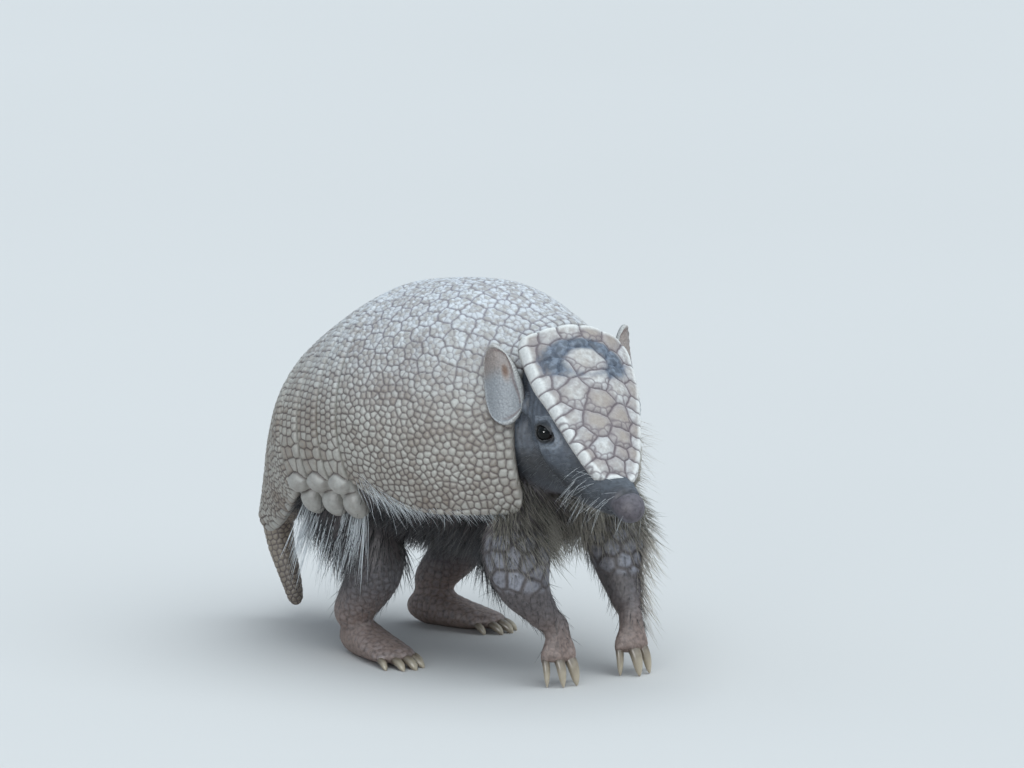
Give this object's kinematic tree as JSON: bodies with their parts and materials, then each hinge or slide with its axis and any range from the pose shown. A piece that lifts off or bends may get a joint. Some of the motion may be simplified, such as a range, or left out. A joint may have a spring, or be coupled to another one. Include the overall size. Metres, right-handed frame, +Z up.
{
  "type": "three-banded armadillo",
  "caption": "Life-size still model of a walking three-banded armadillo: domed shell of shields and bands, armoured head turned to its right, short tail, long claws.",
  "frame": {"origin": "bottom centre of the animal's bounding box, on the floor it stands on", "axes": "+X the way the body faces, +Y its left, +Z up; the head is turned towards -Y"},
  "size_m": [0.2302, 0.1188, 0.145],
  "materials": {
    "scute": "pebbled horn scutes, cream tubercles with brown grooves, satin",
    "ivory": "large smooth irregular scutes, ivory with purplish-brown grooves, satin",
    "face": "finely wrinkled dark blue-grey bare skin, matte",
    "hide": "dark wrinkled skin under sparse coarse hair, matte",
    "leg": "dark scaly skin with sparse hair, pinkish brown at the feet, matte",
    "ear": "finely pebbled blue-grey skin with a paler beaded rim, matte",
    "tail": "rough horny tubercles, grey-brown, satin",
    "eye": "wet black, glossy",
    "claw": "horn, semi-gloss"
  },
  "bodies": {
    "root": {"shell_shoulder": "scute", "shell_band_1": "scute", "shell_band_2": "scute", "shell_band_3": "scute", "shell_hip": "scute", "head_shield": "ivory", "trunk": "hide", "neck": "hide", "head": "face", "eye_right": "eye", "ear_right": "ear", "foreleg_right": "leg", "hindleg_right": "leg", "forefoot_right": "leg", "hindfoot_right": "leg", "foreclaw_right_1": "claw", "foreclaw_right_2": "claw", "foreclaw_right_3": "claw", "foreclaw_right_4": "claw", "hindclaw_right_1": "claw", "hindclaw_right_2": "claw", "hindclaw_right_3": "claw", "hindclaw_right_4": "claw", "hindclaw_right_5": "claw", "eye_left": "eye", "ear_left": "ear", "foreleg_left": "leg", "hindleg_left": "leg", "forefoot_left": "leg", "hindfoot_left": "leg", "foreclaw_left_1": "claw", "foreclaw_left_2": "claw", "foreclaw_left_3": "claw", "foreclaw_left_4": "claw", "hindclaw_left_1": "claw", "hindclaw_left_2": "claw", "hindclaw_left_3": "claw", "hindclaw_left_4": "claw", "hindclaw_left_5": "claw", "tail": "tail"}
  },
  "joints": []
}
